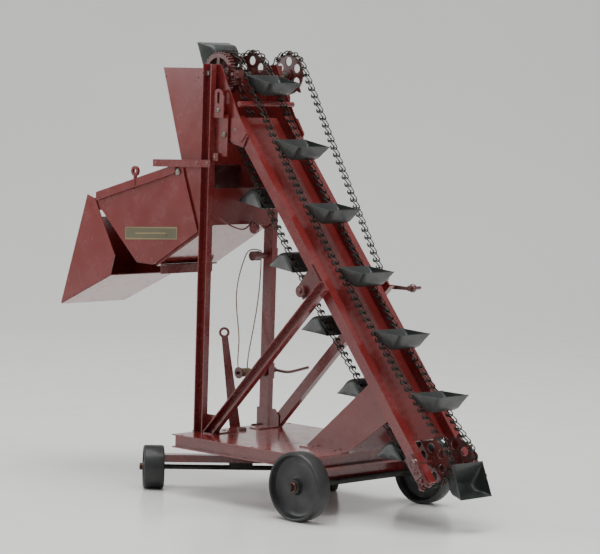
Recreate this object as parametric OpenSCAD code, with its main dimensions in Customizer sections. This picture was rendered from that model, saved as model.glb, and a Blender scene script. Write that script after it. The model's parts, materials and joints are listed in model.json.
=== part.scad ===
// Toy bucket loader: two chains carry a strand of buckets up a sloping boom to a hopper and a chute,
// all on a four-wheeled deck with a steering truck. X runs along the deck towards the digging end,
// Y runs across it, Z is up. Every x below is measured from the deck's towing edge.

/* [Deck] */
// Length of the deck
deck_length = 195; // [170:1:230]
// Width of the deck over its side channels
deck_width = 160; // [150:1:180]
// Height of the deck's top face above the floor
deck_top = 61; // [55:0.5:70]
// Depth of the side channels
channel_depth = 13.4; // [10:0.2:18]
// Width of the side channels' flanges
channel_flange = 6; // [4:0.5:9]
// Thickness of the pressed sheet
sheet = 1.2; // [0.8:0.1:2]

/* [Boom] */
// Slope of the boom from the horizontal
boom_angle = 51; // [45:0.5:56]
// Distance between the head shaft and the foot shaft
shaft_distance = 464; // [440:1:480]
// Distance of the foot shaft from the towing edge
foot_x = 295; // [285:1:305]
// Height of the foot shaft
foot_z = 64; // [60:0.5:70]
// Width of the boom over its rails
boom_width = 77; // [70:1:84]
// Width of one rail
rail_width = 10; // [8:0.5:12]
// Depth of one rail
rail_depth = 11; // [9:0.5:13]

/* [Elevator] */
// Distance of each bucket chain from the middle plane
chain_y = 17; // [14:0.5:20]
// Radius at which the chains wrap the sprockets
pitch_radius = 21.5; // [20:0.5:24]
// Sag of the carrying strand at mid span
front_sag = 14; // [0:1:15]
// Sag of the returning strand at mid span
back_sag = 15; // [0:1:20]
// Number of buckets on the chains
bucket_count = 14; // [10:1:16]
// Length of a bucket across the boom
bucket_length = 47; // [40:1:50]
// Distance of the highest carrying bucket below the head shaft
first_bucket = 31.5; // [25:0.5:40]
// Distance of the drive sprocket from the middle plane
drive_y = 70; // [64:1:76]

/* [Posts and hopper] */
// Distance of each post's centre from the middle plane
post_y = 46.9; // [44:0.1:50]
// Depth of a post along the deck
post_depth = 12.6; // [10:0.2:16]
// Width of a post across the deck
post_width = 7; // [5:0.5:9]
// Height of the posts' tops
post_top = 434; // [420:1:440]
// Height of the hopper's rim
hopper_top = 429; // [420:1:440]

/* [Wheels] */
// Radius of a rear wheel
rear_wheel_r = 33.5; // [30:0.5:36]
// Width of a rear wheel
rear_wheel_w = 18; // [12:0.5:22]
// Radius of a front wheel
front_wheel_r = 22; // [20:0.5:24]
// Width of a front wheel
front_wheel_w = 21; // [16:0.5:24]
// Angle to which the steering truck is turned
truck_turn = 40; // [0:1:45]

/* [Hidden] */
$fn = 48;

// The origin is under the middle of the whole loader.
deck_shift = -61.6;
run = 0.05;
head_x = foot_x - shaft_distance * cos(boom_angle);
head_z = foot_z + shaft_distance * sin(boom_angle);
loop_length = 2 * shaft_distance + 2 * PI * pitch_radius;
bucket_pitch = loop_length / bucket_count;
shaft_r = 2.5;
truck_x = 19;
rear_axle_x = 190;
chain_height = 4.4;
crank_t = shaft_distance - 216;
crank_n = -26.5;
crank_x = head_x + crank_t * cos(boom_angle) + crank_n * sin(boom_angle);
crank_z = head_z - crank_t * sin(boom_angle) + crank_n * cos(boom_angle);
floor_angle = 30;
pivot_x = -37.6;
pivot_z = 323.6;
tip_x = -171;
tip_z = 282;
wrap = PI * pitch_radius;

module placed() translate([deck_shift, 0, 0]) children();
module both() { children(); mirror([0, 1, 0]) children(); }
// The boom's own frame: x runs down the boom from the head shaft, z stands out of its carrying face.
module on_boom() placed() translate([head_x, 0, head_z]) rotate([0, boom_angle, 0]) children();
// A rod along Y from y0 to y1.
module rod_y(x, z, y0, y1, r) translate([x, y0, z]) rotate([-90, 0, 0]) cylinder(r = r, h = y1 - y0);
// A plate that stands in the XZ plane from y0 to y0 + t.
module plate_y(y0, t, points) translate([0, y0 + t, 0]) rotate([90, 0, 0]) linear_extrude(t) polygon(points);
// The truck's own frame: y runs along its axle, x points away from the towing side.
module on_truck() placed() translate([truck_x, 0, 0]) rotate([0, 0, -truck_turn]) children();

// ---- chain paths ----
// Distance of each strand from the line between the shafts, at t below the head shaft.
function front_n(t) = pitch_radius - 4 * front_sag * t * (shaft_distance - t) / pow(shaft_distance, 2);
function back_n(t) = -pitch_radius - 4 * back_sag * t * (shaft_distance - t) / pow(shaft_distance, 2);
function loop_outline(d) = concat(
  [for (i = [0:20]) let (t = shaft_distance * i / 20) [t, front_n(t) + d]],
  [for (i = [1:11]) let (a = 90 - 15 * i, r = pitch_radius + d) [shaft_distance + r * cos(a), r * sin(a)]],
  [for (i = [0:20]) let (t = shaft_distance * (1 - i / 20)) [t, back_n(t) - d]],
  [for (i = [1:11]) let (a = 270 - 15 * i) [(pitch_radius + d) * cos(a), (pitch_radius + d) * sin(a)]]);

// ---- deck ----
module deck_plate() color("firebrick") placed() difference() {
  translate([0, -deck_width / 2 + channel_flange, deck_top - sheet])
    cube([deck_length, deck_width - 2 * channel_flange, sheet]);
  translate([truck_x, 0, deck_top - 2]) cylinder(r = 3.2, h = 4);
}
module side_channel() difference() {
  translate([0, -deck_width / 2, deck_top - channel_depth])
    cube([deck_length, channel_flange - run, channel_depth]);
  translate([-1, -deck_width / 2 - 1, deck_top - channel_depth + sheet])
    cube([deck_length + 2, channel_flange - sheet + 1, channel_depth - 2 * sheet]);
}
module side_channels() color("firebrick") placed() both() side_channel();
module end_channel(x, out) {
  depth = channel_depth - sheet - run;
  half = deck_width / 2 - channel_flange - run;
  translate([x, -half, deck_top - channel_depth]) difference() {
    cube([8, 2 * half, depth]);
    translate([out > 0 ? sheet : -1, -1, sheet]) cube([8 - sheet + 1, 2 * half + 2, depth - 2 * sheet]);
  }
}
module end_channels() color("firebrick") placed() {
  end_channel(0, -1);
  end_channel(deck_length - 8, 1);
}
module rear_axle_beam() color("firebrick") placed() {
  beam_z = rear_wheel_r + 5.5;
  depth = deck_top - channel_depth - run - beam_z;
  difference() {
    translate([rear_axle_x - 7, -66, beam_z - 10]) cube([12, 132, depth + 10]);
    translate([rear_axle_x - 7 + sheet, -67, beam_z - 11]) cube([12, 134, depth + 11 - sheet]);
    rod_y(rear_axle_x, rear_wheel_r, -70, 70, 3.1 + run);
  }
}
module rear_axle() color("dimgray") placed() {
  rod_y(rear_axle_x, rear_wheel_r, -101.5, 101.5, 2.5);
  for (s = [-1, 1]) rod_y(rear_axle_x, rear_wheel_r, s > 0 ? 101.6 : -104.6, s > 0 ? 104.6 : -101.6, 4);
  rod_y(rear_axle_x, rear_wheel_r, -76, 76, 3.1);
}
// A dished wheel with its outer face at y = -w / 2.
module wheel(r, w, bore) rotate([90, 0, 0]) translate([0, 0, -w / 2]) rotate_extrude() polygon([
  [bore, 2], [9, 2], [9, w / 2 - 2], [r - 4, w / 2 - 2], [r - 3, 0.5], [r - 0.6, 0], [r, 0.8], [r, w - 0.8],
  [r - 0.6, w], [r - 3, w - 0.5], [r - 4.6, w / 2], [11, w / 2], [8.5, w / 2 + 2], [7, w], [bore, w]]);
module rear_wheel(s) placed() translate([rear_axle_x, s * (81 + rear_wheel_w / 2), rear_wheel_r])
  mirror([0, s > 0 ? 1 : 0, 0]) wheel(rear_wheel_r, rear_wheel_w, shaft_r + run);
module rear_wheel_left() color("darkslategray") rear_wheel(-1);
module rear_wheel_right() color("darkslategray") rear_wheel(1);

// ---- steering truck ----
tow_x = -32;
tow_z = 28;
module front_beam() color("firebrick") on_truck() {
  difference() {
    translate([-6, -78.5, 27.5]) cube([12, 157, 7.5]);
    translate([-6 + sheet, -79.5, 26]) cube([12 - 2 * sheet, 159, 9 - sheet]);
    cylinder(r = 2.5 + run, h = 60);
  }
  rod_y(tow_x, tow_z, -7, 7, 1.5);
  for (s = [-1, 1]) translate([tow_x - 3, s * 5 - 1, tow_z - 3]) cube([-tow_x - 3, 2, 6]);
}
module front_axle() color("dimgray") on_truck() {
  rod_y(0, front_wheel_r, -100.5, 100.5, 2.5);
  for (s = [-1, 1]) rod_y(0, front_wheel_r, s > 0 ? 100.6 : -103.6, s > 0 ? 103.6 : -100.6, 3.6);
  difference() {
    translate([-4, -12, front_wheel_r]) cube([8, 24, 27.4 - front_wheel_r]);
    translate([0, 0, 25.5]) cylinder(r = 2.5 + run, h = 5);
  }
}
module king_pin() color("dimgray") placed() translate([truck_x, 0, 0]) {
  translate([0, 0, 26]) cylinder(r = 2.5, h = deck_top - 26 + 1);
  translate([0, 0, 36]) cylinder(r = 6, h = 10);
  translate([0, 0, deck_top + 0.1]) cylinder(r = 5, h = 2);
}
module front_wheel(s) on_truck() translate([0, s * (79 + front_wheel_w / 2), front_wheel_r])
  mirror([0, s > 0 ? 1 : 0, 0]) wheel(front_wheel_r, front_wheel_w, shaft_r + run);
module front_wheel_left() color("darkslategray") front_wheel(-1);
module front_wheel_right() color("darkslategray") front_wheel(1);
tow_length = 131;
tow_lean = 8;
module tow_bar() color("firebrick") on_truck() translate([tow_x, 0, tow_z]) difference() {
  union() {
    rotate([tow_lean, 0, 0]) rotate([90, 0, 90]) translate([0, 0, -0.9]) linear_extrude(1.8) difference() {
      union() {
        polygon([[-3.2, 2.5], [3.2, 2.5], [5.6, 34], [3.3, tow_length - 3], [-3.3, tow_length - 3],
          [-5.6, 34]]);
        translate([0, tow_length]) circle(r = 5.6);
      }
      translate([0, tow_length]) circle(r = 3);
    }
    rod_y(0, 0, -3.7, 3.7, 3.4);
  }
  rod_y(0, 0, -9, 9, 1.5 + run);
}

// ---- posts and braces ----
// A channel with its web on the inside and its two flanges turned outwards.
module post() difference() {
  translate([0, post_y - post_width / 2, deck_top]) cube([post_depth, post_width, post_top - deck_top]);
  translate([sheet, post_y - post_width / 2 + sheet, deck_top - 1])
    cube([post_depth - 2 * sheet, post_width, post_top - deck_top + 2]);
  rod_y(head_x, head_z, 40, 60, shaft_r + run);
}
module posts() color("firebrick") placed() {
  mirror([0, 1, 0]) post();
  difference() {
    post();
    for (z = [winch_z, roller_z]) rod_y(winch_x, z, 40, 60, winch_shaft_r + run);
  }
}
module post_feet() color("firebrick") placed() both() {
  plate_y(post_y - post_width / 2 - run - sheet, sheet,
    [[-2, deck_top], [30, deck_top], [30, 74], [24, 80], [-2, 80]]);
  translate([-2, 34, deck_top]) cube([1.9, 16, sheet]);
  translate([14, 16, deck_top]) cube([14, post_y + post_width / 2 - 16, sheet]);
}
brace_length = 212;
brace_y = post_y - post_width / 2 + run;
// A channel like the post's, cut off where it meets the post and the foot.
module brace() difference() {
  translate([32, 0, 66]) rotate([0, -46.5, 0]) difference() {
    translate([-30, brace_y, 0]) cube([brace_length + 30, post_width - run, 11]);
    translate([-31, brace_y + sheet, sheet]) cube([brace_length + 32, post_width, 11 - 2 * sheet]);
  }
  translate([-60, 40, 0]) cube([60 + post_depth + 0.1, 20, 200]);
  translate([-60, 40, 0]) cube([160, 20, deck_top + sheet + 0.1]);
}
module braces() color("firebrick") placed() both() brace();

// ---- boom ----
module rail_box(y0) translate([0, y0, 0]) difference() {
  translate([55, 0, 2 - rail_depth]) cube([shaft_distance + 22 - 55, rail_width, rail_depth]);
  translate([54, sheet, 1 - rail_depth])
    cube([shaft_distance + 24 - 54, rail_width - 2 * sheet, rail_depth - sheet + 1]);
  rod_y(shaft_distance, 0, -5, 20, shaft_r + run);
}
module boom_rails() color("firebrick") on_boom() both() rail_box(boom_width / 2 - rail_width);
module boom_floor() color("indianred") on_boom()
  translate([50, -boom_width / 2 + rail_width + run, 2 - rail_depth])
    cube([shaft_distance - 28 - 50, boom_width - 2 * rail_width - 2 * run, sheet]);
module boom_supports() color("firebrick") placed() both() {
  plate_y(26.2, sheet, [[137, deck_top], [194, deck_top], [251, 102], [224, 135.5]]);
  translate([137, 27.4, deck_top]) cube([57, 9, sheet]);
}
module head_plates() color("firebrick") placed() both() difference() {
  plate_y(39.2, sheet,
    [[-4, 434], [15, 434], [43, 384], [57, 365], [50, 352], [32, 356], [13.5, 378], [-4, 412]]);
  rod_y(head_x, head_z, 30, 50, shaft_r + run);
}
// Slotted hangers on the posts, with the strips and screws that hold the head plates.
module head_hangers() color("indianred") placed() both() {
  difference() {
    union() {
      plate_y(46.4, sheet, [[12.8, 380.5], [28.4, 380.5], [28.4, 403], [12.8, 403]]);
      rod_y(20.6, 403, 46.4, 46.4 + sheet, 6.5);
    }
    translate([19, 45, 395]) cube([3.2, 5, 11]);
  }
  rod_y(20.6, 388, 40.45, 46.45, 3);
  plate_y(43, 1.1, [[15.5, 342], [31.6, 342], [31.6, 384], [15.5, 384]]);
  rod_y(27, 364, 40.45, 45, 2.6);
  plate_y(40.5, 1.1, [[33, 357], [48, 357], [56, 366], [46, 381], [33, 381]]);
  plate_y(46.4, sheet, [[12.9, 337], [22, 337], [22, 345], [12.9, 345]]);
}
module head_bar() color("firebrick") on_boom() rod_y(47, 10.8, -boom_width / 2, boom_width / 2, 2.8);
module shaft_brackets() color("firebrick") on_boom() both() difference() {
  plate_y(38.6, sheet, [[crank_t - 14, -1], [crank_t + 10, -1], [crank_t + 7, crank_n - 5],
    [crank_t - 7, crank_n - 5]]);
  rod_y(crank_t, crank_n, 30, 50, shaft_r + run);
}
module take_up_bearings() color("firebrick") on_boom() both() difference() {
  union() {
    translate([shaft_distance - 10, boom_width / 2 + run, -8]) cube([24, 5, 10]);
    translate([shaft_distance + 14.1, boom_width / 2 + run, -5]) cube([7, 4, 6]);
    for (n = [-7, 1]) translate([shaft_distance + 8, boom_width / 2 + 2.5, n - 0.5]) rotate([0, 90, 0])
      cylinder(r = 1.8, h = 16);
  }
  rod_y(shaft_distance, 0, 30, 50, shaft_r + run);
}

// ---- hopper ----
hopper_y = 41.8;
module hopper_shell() color("firebrick") placed() {
  both() plate_y(hopper_y, 1, [[-66, hopper_top], [-7, hopper_top], [-7, 410], [12.2, 376], [12.2, 273],
    [-70, 225.4], [-52, 262], [-34, 330]]);
  plate_y(-hopper_y + run, 2 * (hopper_y - run),
    [[-66, hopper_top], [-34, 330], [-32.8, 330], [-64.8, hopper_top]]);
  plate_y(-hopper_y + run, 2 * (hopper_y - run), [[11, 272.5], [12.2, 273.1], [12.2, 309], [11, 309]]);
}
module hopper_floor() color("indianred") placed()
  plate_y(-hopper_y + run, 2 * (hopper_y - run), [[12.2, 273], [-70, 225.4], [-70, 224.2], [12.2, 271.8]]);
module hopper_rails() color("firebrick") placed() both() {
  plate_y(post_y + post_width / 2 + run, sheet, [[-69, 327.2], [15, 330.5], [15, 338], [-69, 334.7]]);
  translate([-69, 49.3, 327.2]) cube([sheet, post_y + post_width / 2 + sheet + run - 49.3, 7.5]);
}

// ---- chute ----
chute_y = 44;
module chute_box() color("firebrick") placed() difference() {
  union() {
    both() plate_y(chute_y, 1, [[-177, 278], [-175, 288], [-160, 290], [-48, 320], [-44, 328], [-31, 328],
      [-29, 320], [-7.3, 264], [-70.7, 226.5], [-98, 227], [-153, 277]]);
    plate_y(-chute_y, 2 * chute_y, [[-98, 227], [-72, 226.5], [-72, 225.5], [-98, 226]]);
  }
  rod_y(pivot_x, pivot_z, -60, 60, 2 + run);
  rod_y(tip_x, tip_z, -60, 60, 1.5 + run);
}
module chute_cover() color("firebrick") placed() {
  plate_y(-47.8, 95.6, [[-160, 294.6], [-40, 329.6], [-40, 330.8], [-160, 295.8]]);
  both() plate_y(46.8, 1, [[-160, 287], [-40, 322], [-40, 329.7], [-160, 294.7]]);
  translate([-100, -47.3, 306]) cylinder(r = 1.9, h = 12);
  translate([-100, -47.3, 321]) rotate([90, 0, 0]) difference() {
    translate([0, 0, -1.5]) cylinder(r = 5.2, h = 3);
    translate([0, 0, -2]) cylinder(r = 2.6, h = 4);
  }
}
module chute_pins() color("silver") placed() both() {
  rod_y(pivot_x, pivot_z, hopper_y + 1 + run, 46.4, 2);
  rod_y(pivot_x, pivot_z, 45.4, 46.4, 3.4);
}
module deflector() color("firebrick") placed() {
  both() plate_y(45.4, 1, [[-175, 292.5], [-163, 289], [-130, 231.5], [-136, 210.6], [-213.6, 174.3]]);
  plate_y(-45.5, 91, [[-136, 210.6], [-213.6, 174.3], [-213.6, 173.3], [-136, 209.6]]);
  plate_y(-45.5, 91, [[-182, 268], [-207.5, 190], [-206.4, 190], [-180.9, 268]]);
  both() rod_y(tip_x, tip_z, 43.2, 46.7, 1.5);
}
module floor_stiffener() color("firebrick") placed() difference() {
  translate([-66, -40, 216.4]) cube([8, 73, 10]);
  translate([-66 + sheet, -41, 215]) cube([8, 75, 10.2]);
}
// The wire that works the gate under the hopper, bent in the plane across the deck.
gate_wire = [[8.5, 268], [6.5, 274.5], [2.5, 271.5], [-3, 268], [-9, 267.2], [-18, 269.2], [-26, 272.2],
  [-34, 276.5], [-40, 280]];
function wire_side(i, d) = let (a = gate_wire[max(i - 1, 0)], b = gate_wire[min(i + 1, len(gate_wire) - 1)],
  v = (b - a) / norm(b - a)) gate_wire[i] + d * [-v[1], v[0]];
module gate_crank() color("firebrick") placed() {
  rod_y(19.5, 268, 8, 12, 6);
  translate([18.6, 0, 0]) rotate([90, 0, 90]) linear_extrude(1.8) polygon(concat(
    [for (i = [0:len(gate_wire) - 1]) wire_side(i, 0.9)],
    [for (i = [len(gate_wire) - 1:-1:0]) wire_side(i, -0.9)]));
}

// ---- winch and cord ----
winch_z = 118;
roller_z = 238;
winch_x = 5;
winch_shaft_r = 1.6;
module winch_mounts() color("firebrick") placed() for (z = [winch_z, roller_z]) difference() {
  translate([-0.5, post_y + post_width / 2 + run, z - 8]) cube([13, 1.6, 16]);
  rod_y(winch_x, z, 40, 60, winch_shaft_r + run);
}
module winch() color("dimgray") placed() translate([winch_x, 0, winch_z]) {
  rod_y(0, 0, 5, 60, winch_shaft_r);
  rod_y(0, 0, 8, 40, 3.4);
  for (y = [6.6, 40]) rod_y(0, 0, y, y + 1.4, 6);
  rotate([0, 90, 0]) {
    translate([-2.5, 57, -1.6]) cube([16, 3, 3.2]);
    rod_y(12, 0, 59, 98, 1.6);
  }
}
module cord_roller() color("firebrick") placed() {
  rod_y(winch_x, roller_z, 22, 31.1, 5);
  rod_y(winch_x, roller_z, 31, 43.1, 3.2);
  rod_y(winch_x, roller_z, 43, 54, winch_shaft_r);
}
cord_r = 0.6;
cord_route = [[0.7, 10.6, 118], [0.5, 10.4, 124], [0.2, 10.2, 130], [-0.2, 11, 140], [-0.8, 12, 152],
  [-1.8, 11.2, 166], [-2.6, 9.4, 182], [-2.6, 8.4, 198], [-2, 9.6, 212], [-1, 13, 226], [-0.4, 18, 238],
  [0.4, 21, 242.6], [2.2, 24, 244.5], [4.4, 27.5, 244.6], [4.8, 31.5, 243.9], [3.6, 35.5, 243],
  [1.4, 38.8, 241.6], [-1.4, 41.4, 238], [-3.4, 43.6, 231], [-5, 45, 221], [-5.6, 45, 210],
  [-5.2, 43.4, 198], [-4.4, 40.6, 184], [-3.6, 36.6, 168], [-2.6, 32, 152], [-1.6, 27.8, 138],
  [0, 24.6, 127], [0.6, 23.8, 121], [0.7, 23.6, 117]];
function route_dir(i) = let (a = cord_route[max(i - 1, 0)], b = cord_route[min(i + 1, len(cord_route) - 1)])
  (b - a) / norm(b - a);
function ring(i) = let (d = route_dir(i), u = [1, 0, 0], w = cross(d, u) / norm(cross(d, u)), q = cross(w, d))
  [for (k = [0:7]) cord_route[i] + cord_r * (cos(45 * k) * w + sin(45 * k) * q)];
module lift_cord() color("tan") placed() polyhedron(
  points = [for (i = [0:len(cord_route) - 1]) each ring(i)],
  faces = concat([[for (k = [0:7]) k]],
    [for (i = [0:len(cord_route) - 2]) for (k = [0:7])
      [8 * i + k, 8 * (i + 1) + k, 8 * (i + 1) + (k + 1) % 8, 8 * i + (k + 1) % 8]],
    [[for (k = [7:-1:0]) 8 * (len(cord_route) - 1) + k]]));

// ---- chains and sprockets ----
module bucket_chains() color("black") on_boom() both() for (y = [chain_y - 3.6, chain_y + 2.5]) difference() {
  plate_y(y, 1.1, loop_outline(chain_height / 2));
  plate_y(y - 1, 3.1, loop_outline(-chain_height / 2));
}
// A flat toothed wheel with round holes, in the XZ plane about y.
module sprocket(y, r, teeth, holes) translate([0, y + 0.8, 0]) rotate([90, 0, 0]) difference() {
  union() {
    linear_extrude(1.6) union() {
      circle(r = r - 1);
      for (i = [0:teeth - 1]) rotate(360 * i / teeth)
        polygon([[r - 3, -2.6], [r + 1.2, -1.6], [r + 3.6, -0.5], [r + 3.6, 0.5], [r + 1.2, 1.6],
          [r - 3, 2.6]]);
    }
    translate([0, 0, -2]) cylinder(r = 6, h = 5.6);
  }
  for (i = [0:holes - 1]) rotate(30 + 360 * i / holes) translate([13.8, 0, -3]) cylinder(r = 4.6, h = 8);
  translate([0, 0, -4]) cylinder(r = shaft_r, h = 10);
}
module at_head() placed() translate([head_x, 0, head_z]) children();
module head_shaft() color("dimgray") at_head() rod_y(0, 0, -47, 78, shaft_r);
module sprockets() color("firebrick") at_head()
  for (y = [-chain_y, chain_y, drive_y]) sprocket(y, pitch_radius, 8, 6);
module head_gear() color("firebrick") at_head() translate([0, -26, 0]) rotate([90, 0, 0])
difference() {
  linear_extrude(6) difference() {
    union() {
      circle(r = 19.8);
      for (i = [0:35]) rotate(10 * i) polygon([[19, -1.1], [21.6, -0.5], [21.6, 0.5], [19, 1.1]]);
    }
    difference() {
      circle(r = 16);
      for (i = [0:2]) rotate(90 + 120 * i) translate([0, -2]) square([17, 4]);
      circle(r = 5.5);
    }
  }
  translate([0, 0, -1]) cylinder(r = shaft_r + 0.02, h = 8);
}
module click_pawl() color("firebrick") placed() {
  translate([27, -33, head_z - 4]) cube([6, 8, 8]);
  difference() {
    translate([29, -39.1, head_z - 1.5]) cube([3, 6.05, 3]);
  }
}
module foot_shaft() color("dimgray") on_boom() rod_y(shaft_distance, 0, -45, 45, shaft_r);
module foot_sprockets() color("firebrick") on_boom() translate([shaft_distance, 0, 0])
  for (y = [-chain_y, chain_y]) sprocket(y, pitch_radius, 8, 6);
crank_sprocket_r = 9;
module at_crank() placed() translate([crank_x, 0, crank_z]) children();
module crank_shaft() color("dimgray") at_crank() {
  rod_y(0, 0, -46, 84, shaft_r);
  rod_y(0, 0, -44, -40, 6);
  rod_y(0, 0, 40, 44, 6);
  translate([0, drive_y + 0.8, 0]) rotate([90, 0, 0]) linear_extrude(1.6) {
    circle(r = crank_sprocket_r - 1.5);
    for (i = [0:5]) rotate(60 * i)
      polygon([[6, -2], [crank_sprocket_r + 2, -0.5], [crank_sprocket_r + 2, 0.5], [6, 2]]);
  }
  rod_y(0, 0, 66, 69.3, 5);
  rod_y(0, 0, 78, 84, 5);
  translate([4.6, 79.5, -1.6]) cube([26, 3, 3.2]);
  rod_y(30, 0, 82.4, 100, 2);
}
// The drive loop leans between the drive sprocket and the crank sprocket.
drive_dx = crank_x - head_x;
drive_dz = head_z - crank_z;
drive_angle = atan2(drive_dz, drive_dx);
drive_length = norm([drive_dx, drive_dz]);
function drive_outline(d) = concat(
  [for (i = [0:12]) let (a = 90 + 15 * i) [(pitch_radius + d) * cos(a), (pitch_radius + d) * sin(a)]],
  [for (i = [0:12]) let (a = -90 + 15 * i)
    [drive_length + (crank_sprocket_r + d) * cos(a), (crank_sprocket_r + d) * sin(a)]]);
module drive_chain() color("black") at_head() rotate([0, drive_angle, 0])
  for (y = [drive_y - 3.6, drive_y + 2.5]) difference() {
    plate_y(y, 1.1, drive_outline(chain_height / 2));
    plate_y(y - 1, 3.1, drive_outline(-chain_height / 2));
  }

// ---- buckets ----
back_gap = 4.3;
// The mouth leans at half a right angle, and the ends draw in by a third of the depth below it.
module bucket_ends(back, half) translate([-12, 0, 0]) rotate([0, 45, 0]) translate([0, 0, -10])
  linear_extrude(50) polygon([[back, half - back / 3], [back, back / 3 - half], [17, 17 / 3 - half],
    [17, half - 17 / 3]]);
// A pressed scoop with its back plate's middle at the origin, x down the boom and z away from the chain.
module bucket() translate([0, 0, back_gap]) difference() {
  intersection() {
    plate_y(-bucket_length / 2 - 1, bucket_length + 2,
      [[-12, 0], [8.5, 0], [11.3, 0.9], [14, 3.1], [15.8, 6.4], [16.4, 10], [12.7, 24.7]]);
    bucket_ends(-1, bucket_length / 2);
  }
  intersection() {
    plate_y(-bucket_length / 2 - 4, bucket_length + 8, [[-16, 1], [8.3, 1], [10.8, 1.8], [13.2, 3.8],
      [14.85, 6.7], [15.4, 10], [11.5, 25.4], [7, 30], [-22, 3]]);
    bucket_ends(-8, bucket_length / 2 - 1.05);
  }
}
// A bucket t below the head shaft on the carrying strand, tilted with the sag.
module front_bucket(t) translate([t, 0, front_n(t)])
  rotate([0, atan(4 * front_sag * (shaft_distance - 2 * t) / pow(shaft_distance, 2)), 0]) bucket();
module back_bucket(t) translate([t, 0, back_n(t)])
  rotate([0, 180 + atan(4 * back_sag * (shaft_distance - 2 * t) / pow(shaft_distance, 2)), 0]) bucket();
head_turn = (bucket_pitch - first_bucket) / pitch_radius * 180 / PI;
back_first = bucket_pitch - (wrap - (bucket_pitch - first_bucket));
foot_turn = (bucket_pitch - (shaft_distance - first_bucket - 5 * bucket_pitch)) / pitch_radius * 180 / PI;
module turned_bucket(t, angle) translate([t, 0, 0]) rotate([0, angle, 0])
  translate([0, 0, pitch_radius]) bucket();
module carrying(k) color("darkslategray") on_boom() front_bucket(first_bucket + k * bucket_pitch);
module returning(k) color("darkslategray") on_boom() back_bucket(back_first + k * bucket_pitch);
module bucket_01() carrying(0);
module bucket_02() carrying(1);
module bucket_03() carrying(2);
module bucket_04() carrying(3);
module bucket_05() carrying(4);
module bucket_06() carrying(5);
module bucket_07() color("darkslategray") on_boom() turned_bucket(shaft_distance, foot_turn);
module bucket_08() returning(5);
module bucket_09() returning(4);
module bucket_10() returning(3);
module bucket_11() returning(2);
module bucket_12() returning(1);
module bucket_13() returning(0);
module bucket_14() color("darkslategray") on_boom() turned_bucket(0, -head_turn);

deck_plate();
side_channels();
end_channels();
rear_axle_beam();
rear_axle();
rear_wheel_left();
rear_wheel_right();
front_beam();
front_axle();
king_pin();
front_wheel_left();
front_wheel_right();
tow_bar();
posts();
post_feet();
braces();
hopper_shell();
hopper_floor();
hopper_rails();
boom_rails();
boom_floor();
boom_supports();
head_plates();
head_hangers();
head_bar();
shaft_brackets();
take_up_bearings();
chute_box();
chute_cover();
chute_pins();
deflector();
floor_stiffener();
gate_crank();
winch_mounts();
winch();
cord_roller();
lift_cord();
bucket_chains();
drive_chain();
head_shaft();
sprockets();
head_gear();
click_pawl();
foot_shaft();
foot_sprockets();
crank_shaft();
bucket_01();
bucket_02();
bucket_03();
bucket_04();
bucket_05();
bucket_06();
bucket_07();
bucket_08();
bucket_09();
bucket_10();
bucket_11();
bucket_12();
bucket_13();
bucket_14();
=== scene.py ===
# Looks of the toy bucket loader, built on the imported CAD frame. Everything is in metres.
import json
import math
import random

import bpy
import bmesh
from mathutils import Matrix, Vector

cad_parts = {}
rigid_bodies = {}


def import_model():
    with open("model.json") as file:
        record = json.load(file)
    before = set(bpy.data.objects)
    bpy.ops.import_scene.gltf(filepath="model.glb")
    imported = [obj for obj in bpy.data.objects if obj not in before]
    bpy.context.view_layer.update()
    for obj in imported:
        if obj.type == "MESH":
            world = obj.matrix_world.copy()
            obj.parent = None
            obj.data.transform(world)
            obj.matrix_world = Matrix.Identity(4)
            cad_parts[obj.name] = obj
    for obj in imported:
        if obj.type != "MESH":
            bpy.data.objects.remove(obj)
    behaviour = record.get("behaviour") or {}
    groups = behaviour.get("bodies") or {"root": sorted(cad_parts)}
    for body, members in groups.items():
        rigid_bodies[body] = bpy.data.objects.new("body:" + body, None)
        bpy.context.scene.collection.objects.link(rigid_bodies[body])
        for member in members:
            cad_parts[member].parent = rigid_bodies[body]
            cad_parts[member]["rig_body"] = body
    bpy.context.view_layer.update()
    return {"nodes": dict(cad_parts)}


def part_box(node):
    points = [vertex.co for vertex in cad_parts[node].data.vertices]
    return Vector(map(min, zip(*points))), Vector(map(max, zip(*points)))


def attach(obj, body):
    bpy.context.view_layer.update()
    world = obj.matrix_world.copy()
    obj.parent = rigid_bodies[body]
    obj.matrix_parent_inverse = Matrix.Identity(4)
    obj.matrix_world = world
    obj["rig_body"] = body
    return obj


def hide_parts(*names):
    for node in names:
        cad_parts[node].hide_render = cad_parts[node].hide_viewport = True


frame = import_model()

random.seed(11)
MM = 0.001
NODES = frame["nodes"]
SHIFT = Vector((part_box("deck_plate")[0].x, 0, 0))


def at(x, y, z):
    """A point given in millimetres from the deck's towing edge."""
    return SHIFT + Vector((x, y, z)) * MM


def middle(node):
    lo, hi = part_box(node)
    return (lo + hi) / 2


# ---- camera ----
CAMERA_AT = at(2001.7, -1967.5, 448.5)
CAMERA_AZIMUTH, CAMERA_PITCH, CAMERA_ROLL = 44.09, -4.68, 1.68
CAMERA_LENS = 164.8


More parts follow.
